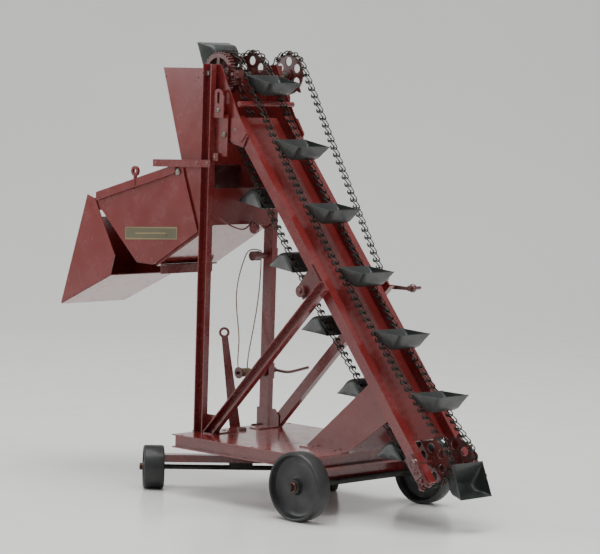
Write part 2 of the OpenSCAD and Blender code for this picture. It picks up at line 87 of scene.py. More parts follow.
def make_camera():
    az, pitch, roll = (math.radians(a) for a in (CAMERA_AZIMUTH, CAMERA_PITCH, CAMERA_ROLL))
    ahead = Vector((-math.sin(az) * math.cos(pitch), math.cos(az) * math.cos(pitch), math.sin(pitch)))
    right = Vector((math.cos(az), math.sin(az), 0))
    up = right.cross(ahead)
    side = right * math.cos(roll) + up * math.sin(roll)
    top = up * math.cos(roll) - right * math.sin(roll)
    data = bpy.data.cameras.new("camera")
    data.lens = CAMERA_LENS
    data.sensor_width = 36
    data.clip_end = 50
    cam = bpy.data.objects.new("camera", data)
    cam.matrix_world = Matrix((
        (side.x, top.x, -ahead.x, CAMERA_AT.x),
        (side.y, top.y, -ahead.y, CAMERA_AT.y),
        (side.z, top.z, -ahead.z, CAMERA_AT.z),
        (0, 0, 0, 1)))
    bpy.context.scene.collection.objects.link(cam)
    bpy.context.scene.camera = cam


make_camera()


# ---- materials ----
class Paint:
    """A node material, built up from noise layers that follow the object's own coordinates."""

    def __init__(self, name):
        self.mat = bpy.data.materials.new(name)
        self.mat.use_nodes = True
        self.tree = self.mat.node_tree
        self.shader = self.tree.nodes["Principled BSDF"]
        self.coords = self.tree.nodes.new("ShaderNodeTexCoord").outputs["Object"]

    def node(self, kind, **values):
        n = self.tree.nodes.new(kind)
        for key, value in values.items():
            if hasattr(n, key):
                setattr(n, key, value)
            else:
                n.inputs[key].default_value = value
        return n

    def link(self, a, b):
        self.tree.links.new(a, b)

    def noise(self, scale, detail=4.0, rough=0.55, stretch=None):
        n = self.node("ShaderNodeTexNoise")
        n.inputs["Scale"].default_value = scale
        n.inputs["Detail"].default_value = detail
        n.inputs["Roughness"].default_value = rough
        source = self.coords
        if stretch:
            m = self.node("ShaderNodeMapping")
            m.inputs["Scale"].default_value = stretch
            self.link(source, m.inputs["Vector"])
            source = m.outputs["Vector"]
        self.link(source, n.inputs["Vector"])
        return n.outputs["Fac"]

    def ramp(self, fac, stops):
        r = self.node("ShaderNodeValToRGB")
        r.color_ramp.elements[0].position = stops[0][0]
        r.color_ramp.elements[1].position = stops[-1][0]
        for pos, _ in stops[1:-1]:
            r.color_ramp.elements.new(pos)
        for e, (_, c) in zip(r.color_ramp.elements, stops):
            e.color = (*c, 1) if isinstance(c, tuple) else (c, c, c, 1)
        self.link(fac, r.inputs["Fac"])
        return r.outputs["Color"]

    def mix(self, fac, a, b):
        m = self.node("ShaderNodeMix")
        m.data_type = "RGBA"
        for value, socket in ((fac, m.inputs[0]), (a, m.inputs[6]), (b, m.inputs[7])):
            if isinstance(value, bpy.types.NodeSocket):
                self.link(value, socket)
            elif isinstance(value, tuple):
                socket.default_value = (*value, 1)
            else:
                socket.default_value = value
        return m.outputs[2]

    def math(self, op, a, b=0.5):
        m = self.node("ShaderNodeMath")
        m.operation = op
        for value, socket in ((a, m.inputs[0]), (b, m.inputs[1])):
            if isinstance(value, bpy.types.NodeSocket):
                self.link(value, socket)
            else:
                socket.default_value = value
        return m.outputs[0]

    def edges(self, radius, gain):
        """1 on sharp outer and inner edges, 0 on flats."""
        bevel = self.node("ShaderNodeBevel")
        bevel.samples = 4
        bevel.inputs["Radius"].default_value = radius
        flat = self.node("ShaderNodeNewGeometry").outputs["Normal"]
        dot = self.node("ShaderNodeVectorMath")
        dot.operation = "DOT_PRODUCT"
        self.link(bevel.outputs["Normal"], dot.inputs[0])
        self.link(flat, dot.inputs[1])
        off = self.math("SUBTRACT", 1.0, dot.outputs["Value"])
        return self.math("MINIMUM", self.math("MULTIPLY", off, gain), 1.0)

    def finish(self, color, rough, height=None, depth=0.1, distance=0.0004):
        self.link(color, self.shader.inputs["Base Color"])
        if isinstance(rough, bpy.types.NodeSocket):
            self.link(rough, self.shader.inputs["Roughness"])
        else:
            self.shader.inputs["Roughness"].default_value = rough
        if height is not None:
            bump = self.node("ShaderNodeBump")
            bump.inputs["Strength"].default_value = depth
            bump.inputs["Distance"].default_value = distance
            self.link(height, bump.inputs["Height"])
            self.link(bump.outputs["Normal"], self.shader.inputs["Normal"])
        return self.mat


def enamel(name, light, deep, wear=0.5, rough=0.24, rust=(0.05, 0.022, 0.014), coat=0.55):
    """Old baked enamel: cloudy colour, fine orange peel, rubbed edges and chips."""
    p = Paint(name)
    cloud = p.ramp(p.noise(9, 5), [(0.3, deep), (0.7, light)])
    streak = p.ramp(p.noise(38, 6, 0.7), [(0.35, 0.0), (0.75, 1.0)])
    faded = p.mix(p.math("MULTIPLY", streak, 0.22), cloud, tuple(min(1, c * 1.35 + 0.02) for c in light))
    rub = p.edges(0.0009, 3.2)
    patchy = p.ramp(p.noise(120, 6, 0.7), [(0.42, 0.0), (0.62, 1.0)])
    worn = p.math("MULTIPLY", p.math("MULTIPLY", rub, patchy), wear)
    speck = p.ramp(p.noise(330, 3, 0.6), [(0.70, 0.0), (0.735, 1.0)])
    spot = p.ramp(p.noise(26, 3, 0.5), [(0.52, 0.0), (0.7, 1.0)])
    chips = p.math("MULTIPLY", p.math("MULTIPLY", speck, spot), 0.8)
    bare = p.math("MAXIMUM", worn, chips)
    rusty = p.mix(p.ramp(p.noise(500, 2), [(0.4, 0.0), (0.6, 1.0)]), rust, (0.14, 0.10, 0.085))
    color = p.mix(bare, faded, rusty)
    dull = p.ramp(p.noise(60, 5, 0.65), [(0.3, rough * 0.75), (0.75, rough * 1.7)])
    ruff = p.mix(bare, dull, (0.6, 0.6, 0.6))
    peel = p.math("ADD", p.math("MULTIPLY", p.noise(700, 2), 0.35), p.math("MULTIPLY", bare, -0.8))
    p.shader.inputs["Specular IOR Level"].default_value = 0.55
    p.shader.inputs["Coat Weight"].default_value = coat
    p.shader.inputs["Coat Roughness"].default_value = 0.1
    return p.finish(color, ruff, peel, 0.12, 0.00025)


def steel(name, light, dark, rough=0.45, metallic=0.9, grain=500):
    """Bare or blackened steel with tarnish, a fine grain and a painted highlight along the edges."""
    p = Paint(name)
    tone = p.ramp(p.noise(70, 6, 0.7), [(0.3, dark), (0.7, light)])
    spots = p.ramp(p.noise(260, 4, 0.6), [(0.55, 0.0), (0.7, 1.0)])
    color = p.mix(p.math("MULTIPLY", spots, 0.5), tone, (0.09, 0.045, 0.025))
    # painted highlight: the edges are lightened in the colour itself, standing in for light catching them
    painted_edge_highlight = p.edges(0.0004, 2.5)
    color = p.mix(p.math("MULTIPLY", painted_edge_highlight, 0.5), color, tuple(min(1, c * 2.2 + 0.04) for c in light))
    ruff = p.ramp(p.noise(180, 5), [(0.3, rough * 0.7), (0.7, min(1, rough * 1.4))])
    p.shader.inputs["Metallic"].default_value = metallic
    return p.finish(color, ruff, p.noise(grain, 3), 0.15, 0.0002)


RED = enamel("red_enamel", (0.165, 0.016, 0.015), (0.12, 0.012, 0.012), rough=0.22)
RED_FLOOR = enamel("red_enamel_plates", (0.185, 0.020, 0.018), (0.14, 0.015, 0.014), wear=0.7, rough=0.2)
DARK_RED = enamel("dark_red_enamel", (0.10, 0.015, 0.014), (0.07, 0.010, 0.010), wear=0.8, rough=0.3)
BUCKET = enamel("bucket_enamel", (0.013, 0.018, 0.016), (0.007, 0.010, 0.009), wear=0.55, rough=0.4, coat=0.25,
                rust=(0.09, 0.08, 0.065))
WHEEL = enamel("wheel_enamel", (0.010, 0.012, 0.011), (0.006, 0.007, 0.007), wear=0.5, rough=0.46, coat=0.15,
               rust=(0.08, 0.07, 0.06))
CHAIN = steel("blackened_chain", (0.055, 0.058, 0.050), (0.018, 0.020, 0.017), rough=0.4, metallic=0.7)
STEEL = steel("tarnished_steel", (0.30, 0.27, 0.24), (0.13, 0.11, 0.10), rough=0.42)
RIVET = steel("rivet_metal", (0.24, 0.10, 0.07), (0.12, 0.04, 0.03), rough=0.38, metallic=0.5)


def cord_material():
    p = Paint("twisted_string")
    twist = p.noise(900, 3, 0.6, (1, 1, 0.35))
    color = p.ramp(twist, [(0.35, (0.13, 0.085, 0.05)), (0.65, (0.34, 0.25, 0.16))])
    return p.finish(color, 0.9, twist, 0.6, 0.0003)


STRING = cord_material()
SLOT_OF = {RED: "painted_red", RED_FLOOR: "painted_red", DARK_RED: "painted_red", BUCKET: "bucket_steel",
           WHEEL: "wheel_black", CHAIN: "chain_black", STEEL: "bare_steel", RIVET: "bare_steel", STRING: "cord"}


# ---- building helpers ----
def body_of(node):
    return NODES[node]["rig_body"]


def keep(node, material):
    """Gives a CAD node its finished material."""
    data = NODES[node].data
    data.materials.clear()
    data.materials.append(material)


def piece(name, build, material, body, replaces=(), smooth=40, bevel=None):
    """A new mesh made by build(bm), in the row frame, that rides on a body."""
    mesh = bpy.data.meshes.new(name)
    bm = bmesh.new()
    build(bm)
    bmesh.ops.recalc_face_normals(bm, faces=bm.faces)
    bm.to_mesh(mesh)
    bm.free()
    obj = bpy.data.objects.new(name, mesh)
    bpy.context.scene.collection.objects.link(obj)
    mesh.materials.append(material)
    for f in mesh.polygons:
        f.use_smooth = True
    mesh.set_sharp_from_angle(angle=math.radians(smooth))
    if bevel:
        m = obj.modifiers.new("edge", "BEVEL")
        m.width = bevel
        m.segments = 2
        m.limit_method = "ANGLE"
        m.angle_limit = math.radians(35)
        m.harden_normals = True
    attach(obj, body)
    if replaces:
        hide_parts(*replaces)
    return obj


BOOM = math.radians(51)
ALONG = Vector((math.cos(BOOM), 0, -math.sin(BOOM)))
OUT = Vector((math.sin(BOOM), 0, math.cos(BOOM)))
SPAN, WRAP = 464.0, 21.5
HEAD = Vector((295 - SPAN * math.cos(BOOM), 0, 64 + SPAN * math.sin(BOOM)))
TURN = math.radians(40)


def boom_mm(t, y, n):
    return HEAD + ALONG * t + OUT * n + Vector((0, y, 0))


def boom(t, y, n):
    return at(*boom_mm(t, y, n))


def truck(x, y, z):
    """A point given in the steering truck's own frame: y along its axle."""
    return at(19 + x * math.cos(TURN) + y * math.sin(TURN), y * math.cos(TURN) - x * math.sin(TURN), z)


def frames(points, closed=False):
    """Directions along a line of points, each with two steady cross directions."""
    n = len(points)
    tangents = []
    for i in range(n):
        a = points[(i - 1) % n] if closed or i > 0 else points[0]
        b = points[(i + 1) % n] if closed or i < n - 1 else points[-1]
        tangents.append((b - a).normalized())
    side = tangents[0].orthogonal().normalized()
    out = []
    for t in tangents:
        side = (side - t * side.dot(t)).normalized()
        out.append((t, side, t.cross(side)))
    return out


def tube(bm, points, radius, sides=10, shape=None, flat=1.0):
    """Sweeps a round section along points. radius is a number or one number for each point."""
    rings = []
    for i, (p, (_, u, v)) in enumerate(zip(points, frames(points))):
        r = radius[i] if isinstance(radius, (list, tuple)) else radius
        ring = []
        for k in range(sides):
            a = 2 * math.pi * k / sides
            f = shape(i, a) if shape else 1.0
            ring.append(bm.verts.new(p + (u * math.cos(a) + v * math.sin(a) * flat) * r * f))
        rings.append(ring)
    for a, b in zip(rings, rings[1:]):
        for k in range(sides):
            bm.faces.new((a[k], a[(k + 1) % sides], b[(k + 1) % sides], b[k]))
    bm.faces.new(rings[0][::-1])
    bm.faces.new(rings[-1])


def lathe(bm, profile, origin, axis, segments=48):
    """Turns (radius, height) pairs in millimetres about an axis through origin."""
    axis = axis.normalized()
    u = axis.orthogonal().normalized()
    v = axis.cross(u)
    rings = []
    for r, h in profile:
        if r < 1e-6:
            rings.append([bm.verts.new(origin + axis * h * MM)])
            continue
        rings.append([bm.verts.new(origin + axis * h * MM + (u * math.cos(a) + v * math.sin(a)) * r * MM)
                      for a in (2 * math.pi * k / segments for k in range(segments))])
    for a, b in zip(rings, rings[1:]):
        if len(a) == 1 and len(b) == 1:
            continue
        for k in range(segments):
            k2 = (k + 1) % segments
            if len(a) == 1:
                bm.faces.new((a[0], b[k2], b[k]))
            elif len(b) == 1:
                bm.faces.new((a[k], a[k2], b[0]))
            else:
                bm.faces.new((a[k], a[k2], b[k2], b[k]))


def rivet(bm, point, axis, r=2.2, h=1.0, segments=16):
    """A low round head that stands on a face."""
    lathe(bm, [(r, -0.15), (r, 0.05), (r * 0.93, h * 0.45), (r * 0.7, h * 0.8), (r * 0.38, h * 0.97), (0, h)],
          point, axis, segments)


def screw(bm, point, axis, r=2.8, h=1.3, slot_angle=0.5):
    """A round head with a sawn slot."""
    axis = axis.normalized()
    u = axis.orthogonal().normalized()
    v = axis.cross(u)
    half, deep = 0.16 * r, 0.6 * h
    lathe(bm, [(r, -0.15), (r, h * 0.35), (r * 0.9, h * 0.72), (r * 0.62, h)], point, axis, 20)
    d = u * math.cos(slot_angle) + v * math.sin(slot_angle)
    e = axis.cross(d)
    top = r * 0.62
    for s in (-1, 1):
        arc = []
        a0 = math.asin(half / top)
        for k in range(9):
            a = a0 + (math.pi - 2 * a0) * k / 8
            arc.append(bm.verts.new(point + (d * math.cos(a) + e * math.sin(a) * s) * top * MM + axis * h * MM))
        bm.faces.new(arc)
        low = [bm.verts.new(q.co - axis * deep * MM) for q in (arc[0], arc[-1])]
        bm.faces.new((arc[0], arc[-1], low[1], low[0]))
    floor = [point + (d * x + e * y) * MM + axis * (h - deep) * MM
             for x, y in ((-top, -half), (top, -half), (top, half), (-top, half))]
    bm.faces.new([bm.verts.new(q) for q in floor])


def block(bm, points, depth_dir, depth):
    """A flat outline given as points, given a thickness in one direction."""
    a = [bm.verts.new(p) for p in points]
    b = [bm.verts.new(p + depth_dir * depth) for p in points]
    n = len(a)
    bm.faces.new(a)
    bm.faces.new(b[::-1])
    for k in range(n):
        bm.faces.new((a[k], b[k], b[(k + 1) % n], a[(k + 1) % n]))


def smooth_path(points, step):
    """Catmull-Rom curve through points, cut into even steps."""
    pts = [2 * points[0] - points[1], *points, 2 * points[-1] - points[-2]]
    fine = []
    for p0, p1, p2, p3 in zip(pts, pts[1:], pts[2:], pts[3:]):
        for k in range(24):
            t = k / 24
            fine.append(0.5 * ((2 * p1) + (p2 - p0) * t + (2 * p0 - 5 * p1 + 4 * p2 - p3) * t * t
                               + (3 * p1 - p0 - 3 * p2 + p3) * t ** 3))
    fine.append(points[-1].copy())
    return even(fine, step)


def even(fine, step):
    run = [0.0]
    for a, b in zip(fine, fine[1:]):
        run.append(run[-1] + (b - a).length)
    count = max(2, round(run[-1] / step))
    out, j = [], 0
    for i in range(count + 1):
        d = run[-1] * i / count
        while j < len(run) - 2 and run[j + 1] < d:
            j += 1
        span = run[j + 1] - run[j]
        out.append(fine[j].lerp(fine[j + 1], (d - run[j]) / span if span else 0))
    return out


def path_length(points):
    return sum((b - a).length for a, b in zip(points, points[1:]))


Y = Vector((0, 1, 0))
X = Vector((1, 0, 0))
Z = Vector((0, 0, 1))

# ---- lifting cord ----
ROUTE = [(0.7, 10.6, 118), (0.5, 10.4, 124), (0.2, 10.2, 130), (-0.2, 11, 140), (-0.8, 12, 152),
         (-1.8, 11.2, 166), (-2.6, 9.4, 182), (-2.6, 8.4, 198), (-2, 9.6, 212), (-1, 13, 226), (-0.4, 18, 238),
         (0.4, 21, 242.6), (2.2, 24, 244.5), (4.4, 27.5, 244.6), (4.8, 31.5, 243.9), (3.6, 35.5, 243),
         (1.4, 38.8, 241.6), (-1.4, 41.4, 238), (-3.4, 43.6, 231), (-5, 45, 221), (-5.6, 45, 210),
         (-5.2, 43.4, 198), (-4.4, 40.6, 184), (-3.6, 36.6, 168), (-2.6, 32, 152), (-1.6, 27.8, 138),
         (0, 24.6, 127), (0.6, 23.8, 121), (0.7, 23.6, 117)]
cord_line = smooth_path([at(*p) for p in ROUTE], 0.0006)


def strands(i, a):
    return 0.86 + 0.16 * abs(math.cos(1.5 * (a - i * 0.34)))


cord = piece("lift_cord_string", lambda bm: tube(bm, cord_line, 0.0006, 12, strands), STRING,
             body_of("lift_cord"), replaces=["lift_cord"], smooth=80)


# ---- ladder chains ----
def loop_points(outline_steps=60):
    """The bucket chains' closed path in the boom's frame, as (t, n) pairs."""
    pts = []
    for i in range(outline_steps + 1):
        t = SPAN * i / outline_steps
        pts.append((t, WRAP - 56 * t * (SPAN - t) / SPAN ** 2))
    for i in range(1, 36):
        a = math.radians(90 - 5 * i)
        pts.append((SPAN + WRAP * math.cos(a), WRAP * math.sin(a)))
    for i in range(outline_steps + 1):
        t = SPAN * (1 - i / outline_steps)
        pts.append((t, -WRAP - 60 * t * (SPAN - t) / SPAN ** 2))
    for i in range(1, 36):
        a = math.radians(270 - 5 * i)
        pts.append((WRAP * math.cos(a), WRAP * math.sin(a)))
    return pts


def link_side(length, half, wire):
    """Half of one wire link as (u, y, n): a hook round the next link's rung, then a leg, then half a rung."""
    eye, rise, near = 2.2, 0.95, half - 1.9 * wire
    side = [(length + eye * math.cos(a), near, rise + eye * math.sin(a))
            for a in (math.radians(-165 + 27.5 * k) for k in range(11))]
    side += [(length * 0.60, near + 0.1, rise + eye * 0.6), (length * 0.36, half - 1.1 * wire, 1.5),
             (length * 0.14, half - 0.15 * wire, 0.6), (0.15, half, 0.05), (0.0, half - 0.8, 0.0)]
    return side


def build_chain(bm, loop, place, links, half=3.5, wire=0.6, phase=0.0):
    """Links laid end to end round a closed loop of (a, b) pairs; place(a, y, b) gives the point."""
    closed = [Vector((a, 0, b)) for a, b in loop] + [Vector((loop[0][0], 0, loop[0][1]))]
    fine = even(closed, path_length(closed) / (links * 10))
    ring = [fine[int(round((i + phase) * 10)) % (links * 10)] for i in range(links)]
    for i in range(links):
        p, q = ring[i], ring[(i + 1) % links]
        u = (q - p).normalized()
        n = Vector((-u.z, 0, u.x))
        wob = (random.random() - 0.5) * 0.3
        line = []
        for s in (1, -1):
            side = [p + u * a + n * h + Vector((0, s * w + wob, 0)) for a, w, h in link_side((q - p).length, half, wire)]
            line += side if s == 1 else side[::-1]
        tube(bm, [place(v.x, v.y, v.z) for v in smooth_path(line, 0.7)], wire * MM, 6)


def chains(bm):
    loop = loop_points()
    for s in (-1, 1):
        build_chain(bm, loop, lambda a, y, b: boom(a, y + s * 17, b), 126, phase=0.3)


piece("bucket_chain_links", chains, CHAIN, body_of("bucket_chains"), replaces=["bucket_chains"], smooth=80)

CRANK = boom_mm(248, 0, -26.5)
lean = math.atan2(HEAD.z - CRANK.z, CRANK.x - HEAD.x)
reach = math.hypot(CRANK.x - HEAD.x, HEAD.z - CRANK.z)


def drive_place(a, y, b):
    return at(HEAD.x + a * math.cos(lean) + b * math.sin(lean), 70 + y, HEAD.z - a * math.sin(lean) + b * math.cos(lean))


def drive(bm):
    loop = [(WRAP * math.cos(math.radians(a)), WRAP * math.sin(math.radians(a))) for a in range(265, 90, -5)]
    tilt = math.asin((WRAP - 9) / reach)
    loop = []
    for k in range(41):
        a = math.pi * 1.5 + tilt - (math.pi + 2 * tilt) * k / 40
        loop.append((WRAP * math.cos(a), WRAP * math.sin(a)))
    for k in range(21):
        a = math.pi / 2 - tilt - (math.pi - 2 * tilt) * k / 20
        loop.append((reach + 9 * math.cos(a), 9 * math.sin(a)))
    build_chain(bm, loop, drive_place, 70, phase=0.5)


piece("drive_chain_links", drive, CHAIN, body_of("drive_chain"), replaces=["drive_chain"], smooth=80)


# ---- buckets ----
SECTION = [(-12, 0), (-6, 0), (0, 0), (5, 0), (8.5, 0.1), (10.2, 0.4), (11.8, 1.2), (13.2, 2.3), (14.4, 3.8),
           (15.4, 5.7), (16.1, 7.9), (16.3, 10), (15.6, 13), (14.7, 16.6), (13.7, 20.7), (12.7, 24.7)]


def scoop(bm):
    """A pressed scoop: full-length rim, round-cornered section and raked ends. A modifier gives it its wall."""
    half = 22.5
    pts = [Vector(p) for p in SECTION]
    centre = (pts[0] + pts[-1]) / 2
    along = (pts[-1] - pts[0]).normalized()
    below = Vector((along.y, -along.x))

    def ring(scale, side, spread=None):
        row = []
        for p in pts:
            q = centre + (p - centre) * scale
            deep = max(0.0, (q - centre).dot(below))
            c = min(3.2, 0.5 * max(0.0, (p - centre).dot(below)))
            away = (p - q).length
            fillet = c - math.sqrt(max(0.0, c * c - (c - away) ** 2)) if away < c else 0.0
            y = half - 0.09 * deep - 0.0135 * deep * deep - fillet
            row.append(bm.verts.new(Vector((q.x, y * side if spread is None else y * spread, q.y + 4.3)) * MM))
        return row

    scales = (0.03, 0.35, 0.62, 0.79, 0.87, 0.92, 0.96, 0.985)
    rows = [ring(f, -1) for f in scales]
    rows += [ring(1.0, 1, k) for k in (-1, -0.6, -0.2, 0.2, 0.6, 1)]
    rows += [ring(f, 1) for f in scales[::-1]]
    for a, b in zip(rows, rows[1:]):
        for k in range(len(a) - 1):
            bm.faces.new((a[k], a[k + 1], b[k + 1], b[k]))


def clips(bm):
    """Two bent straps under the back of a bucket, and the rivets that hold them."""
    for s in (-1, 1):
        for t in (-3.4, 3.4):
            block(bm, [Vector((t - 0.5, s * 17 - 2.3, 1.6)) * MM, Vector((t + 0.5, s * 17 - 2.3, 1.6)) * MM,
                       Vector((t + 0.5, s * 17 - 2.3, 4.25)) * MM, Vector((t - 0.5, s * 17 - 2.3, 4.25)) * MM], Y, 4.6 * MM)
        block(bm, [Vector((-4.4, s * 17 - 2.3, 3.5)) * MM, Vector((4.4, s * 17 - 2.3, 3.5)) * MM,
                   Vector((4.4, s * 17 - 2.3, 4.25)) * MM, Vector((-4.4, s * 17 - 2.3, 4.25)) * MM], Y, 4.6 * MM)
        rivet(bm, Vector((0, s * 17, 5.1)) * MM, Z, 1.9, 0.8)


def bucket_place(t, n, angle):
    c, s = math.cos(angle), math.sin(angle)
    u, w = ALONG * c - OUT * s, ALONG * s + OUT * c
    o = boom(t, 0, n)
    return Matrix(((u.x, 0, w.x, o.x), (u.y, 1, w.y, o.y), (u.z, 0, w.z, o.z), (0, 0, 0, 1)))


PITCH = (2 * SPAN + 2 * math.pi * WRAP) / 14
FIRST = 31.5
BACK_FIRST = PITCH - (math.pi * WRAP - (PITCH - FIRST))
places = []
for k in range(6):
    t = FIRST + k * PITCH
    places.append(bucket_place(t, WRAP - 56 * t * (SPAN - t) / SPAN ** 2, math.atan(56 * (SPAN - 2 * t) / SPAN ** 2)))
turn = (PITCH - (SPAN - FIRST - 5 * PITCH)) / WRAP
places.append(bucket_place(SPAN + WRAP * math.sin(turn), WRAP * math.cos(turn), turn))
for k in range(5, -1, -1):
    t = BACK_FIRST + k * PITCH
    places.append(bucket_place(t, -WRAP - 60 * t * (SPAN - t) / SPAN ** 2,
                               math.pi + math.atan(60 * (SPAN - 2 * t) / SPAN ** 2)))
turn = -(PITCH - FIRST) / WRAP
places.append(bucket_place(WRAP * math.sin(turn), WRAP * math.cos(turn), turn))


def shared_mesh(name, build, material):
    mesh = bpy.data.meshes.new(name)
    bm = bmesh.new()
    build(bm)
    bmesh.ops.recalc_face_normals(bm, faces=bm.faces)
    bm.to_mesh(mesh)
    bm.free()
    mesh.materials.append(material)
    for f in mesh.polygons:
        f.use_smooth = True
    mesh.set_sharp_from_angle(angle=math.radians(40))
    return mesh


scoop_mesh = shared_mesh("scoop", scoop, BUCKET)
clip_mesh = shared_mesh("clips", clips, BUCKET)
for i, place in enumerate(places):
    node = f"bucket_{i + 1:02d}"
    for label, mesh in (("scoop", scoop_mesh), ("clips", clip_mesh)):
        obj = bpy.data.objects.new(f"{label}_{i + 1:02d}", mesh)
        bpy.context.scene.collection.objects.link(obj)
        obj.matrix_world = place
        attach(obj, body_of(node))
        if label == "scoop":
            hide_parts(node)
            wall = obj.modifiers.new("wall", "SOLIDIFY")
            wall.thickness = 0.8 * MM
            wall.offset = -1
            edge = obj.modifiers.new("edge", "BEVEL")
            edge.width = 0.3 * MM
            edge.segments = 2
            edge.limit_method = "ANGLE"
            edge.angle_limit = math.radians(50)
            edge.harden_normals = True


# ---- wheels ----
def wheel_profile(r, w):
    return [(2.6, 0.9), (6.0, 0.9), (6.7, 1.5), (7.3, 4.4), (8.4, 6.0), (11.0, 6.8), (r * 0.62, w * 0.42),
            (r * 0.78, w * 0.40), (r - 4.9, w * 0.34), (r - 3.9, 4.2), (r - 3.4, 1.4), (r - 2.9, 0.4), (r - 2.1, 0.0),
            (r - 1.0, 0.2), (r - 0.4, 0.8), (r, 2.2), (r, w / 2), (r, w - 2.2), (r - 0.4, w - 0.8), (r - 1.2, w - 0.1),
            (r - 2.6, w), (r - 3.4, w - 0.7), (r - 4.2, w - 3), (r - 5.4, w * 0.58), (r * 0.6, w * 0.52),
            (11, w * 0.54), (8.4, w * 0.66), (7.4, w - 1.2), (6.6, w - 0.3), (2.6, w - 0.3), (2.6, 0.9)]


def make_wheel(node, centre, axis, r, w):
    piece(node + "_cast", lambda bm: lathe(bm, wheel_profile(r, w), centre - axis * (w / 2) * MM, axis, 96), WHEEL,
          body_of(node), replaces=[node], smooth=32)


make_wheel("rear_wheel_left", at(190, -90, 33.5), Y, 33.5, 18)
make_wheel("rear_wheel_right", at(190, 90, 33.5), -Y, 33.5, 18)
axle_dir = (truck(0, 1, 0) - truck(0, 0, 0)).normalized()
make_wheel("front_wheel_left", truck(0, -89.5, 22), axle_dir, 22, 21)
make_wheel("front_wheel_right", truck(0, 89.5, 22), -axle_dir, 22, 21)


def axle_end(bm, point, axis):
    """The peened end of an axle over a washer."""
    lathe(bm, [(2.6, -0.6), (4.6, -0.6), (4.7, 0), (4.3, 0.5), (2.9, 0.6), (2.9, 1.3), (3.6, 1.9), (3.3, 3.0), (2.2, 3.7), (0, 4.0)],
          point, axis, 28)


def rear_axle(bm):
    for s in (-1, 1):
        axle_end(bm, at(190, s * 99.4, 33.5), Y * s)


def front_axle_ends(bm):
    for s in (-1, 1):
        axle_end(bm, truck(0, s * 100.2, 22), axle_dir * s)


piece("rear_axle_ends", rear_axle, RIVET, "chassis")
piece("front_axle_ends", front_axle_ends, RIVET, body_of("front_axle"))


# ---- cranks and wires ----
def gate_wire(bm):
    line = smooth_path([at(19.5, y, z) for y, z in ((9, 268), (6.5, 274.5), (2.5, 271.5), (-3, 268), (-9, 267.2), (-18, 269.2),
                                                    (-26, 272.2), (-34, 276.5), (-40, 280))], 0.001)
    tube(bm, line, 0.85 * MM, 10)
    lathe(bm, [(0, -0.3), (5.4, -0.3), (6, 0.3), (6, 3.4), (5.4, 4), (0, 4)], at(19.5, 8, 268), Y, 40)


piece("gate_crank_wire", gate_wire, RED, body_of("gate_crank"), replaces=["gate_crank"])


def winch(bm):
    spool = [(1.6, 5), (1.6, 6.6), (5.8, 6.6), (6, 6.8), (6, 7.8), (5.8, 8), (3.5, 8.1), (3.3, 9), (3.3, 39), (3.5, 39.9),
             (5.8, 40), (6, 40.2), (6, 41.2), (5.8, 41.4), (2.6, 41.5), (1.6, 42), (1.6, 57)]
    lathe(bm, spool + [(0, 57)], at(5, 0, 118), Y, 40)
    line = smooth_path([at(*p) for p in ((5, 54, 118), (5, 57.5, 118), (6.5, 59.6, 117.9), (10, 61, 117.4), (13.6, 63, 116.8),
                                         (16, 66.5, 116.3), (17, 71, 116.2), (17.4, 78, 116.9), (17.4, 97, 119.2))], 0.0012)
    tube(bm, line, 1.6 * MM, 12)
    lathe(bm, [(1.7, 58.3), (2.9, 58.3), (3.0, 58.6), (3.0, 60.2), (2.8, 60.5), (1.7, 60.5)], at(5, 0, 118), Y, 24)


piece("winch_wire", winch, DARK_RED, body_of("winch"), replaces=["winch"])


def wound_cord(bm):
    turns = []
    for k in range(0, 9 * 24 + 1):
        a = 2 * math.pi * k / 24
        y = 10.8 + 1.25 * k / 24 if k <= 9 * 24 else 22
        turns.append(at(5 + 3.95 * math.cos(a), y, 118 + 3.95 * math.sin(a)))
    tube(bm, even(turns, 0.0009), 0.0006, 8)


piece("wound_cord", wound_cord, STRING, body_of("winch"))


def crank_works(bm):
    o = at(CRANK.x, 0, CRANK.z)
    shaft = [(0, -46.3), (2.2, -46.2), (2.5, -45.8), (2.5, -44.2), (5.7, -44.1), (6, -43.8), (6, -40.4), (5.7, -40.1),
             (2.5, -40), (2.5, 40), (5.7, 40.1), (6, 40.4), (6, 43.8), (5.7, 44.1), (2.5, 44.2), (2.5, 65.9), (4.7, 66),
             (5, 66.3), (5, 69), (4.7, 69.3), (2.5, 69.4), (2.5, 77.9), (4.6, 78), (5, 78.4), (5, 81.6), (4.6, 82),
             (3.4, 82.3), (3.1, 83.2), (0, 83.4)]
    lathe(bm, shaft, o, Y, 36)


piece("crank_shaft_turned", crank_works, DARK_RED, body_of("crank_shaft"), replaces=["crank_shaft"])


def toothed(bm, centre, radius, teeth, tip, thick, bore, nub):
    """A flat plate wheel with round-topped teeth, in the XZ plane."""
    outline = []
    for k in range(teeth):
        a0 = 2 * math.pi * k / teeth
        for da, r in ((-0.42, radius - 1.6), (-0.2, radius - 1.5), (-nub, radius), (-nub * 0.62, tip - 0.9), (-nub * 0.3, tip - 0.15),
                      (0, tip), (nub * 0.3, tip - 0.15), (nub * 0.62, tip - 0.9), (nub, radius), (0.2, radius - 1.5)):
            outline.append((r, a0 + da if abs(da) != 0.42 else a0 - math.pi / teeth))
    pts = [centre + Vector((math.cos(a) * r, 0, math.sin(a) * r)) * MM for r, a in outline]
    front = [bm.verts.new(p - Y * thick / 2 * MM) for p in pts]
    back = [bm.verts.new(p + Y * thick / 2 * MM) for p in pts]
    n = len(pts)
    for k in range(n):
        bm.faces.new((front[k], front[(k + 1) % n], back[(k + 1) % n], back[k]))
    bm.faces.new(front[::-1])
    bm.faces.new(back)


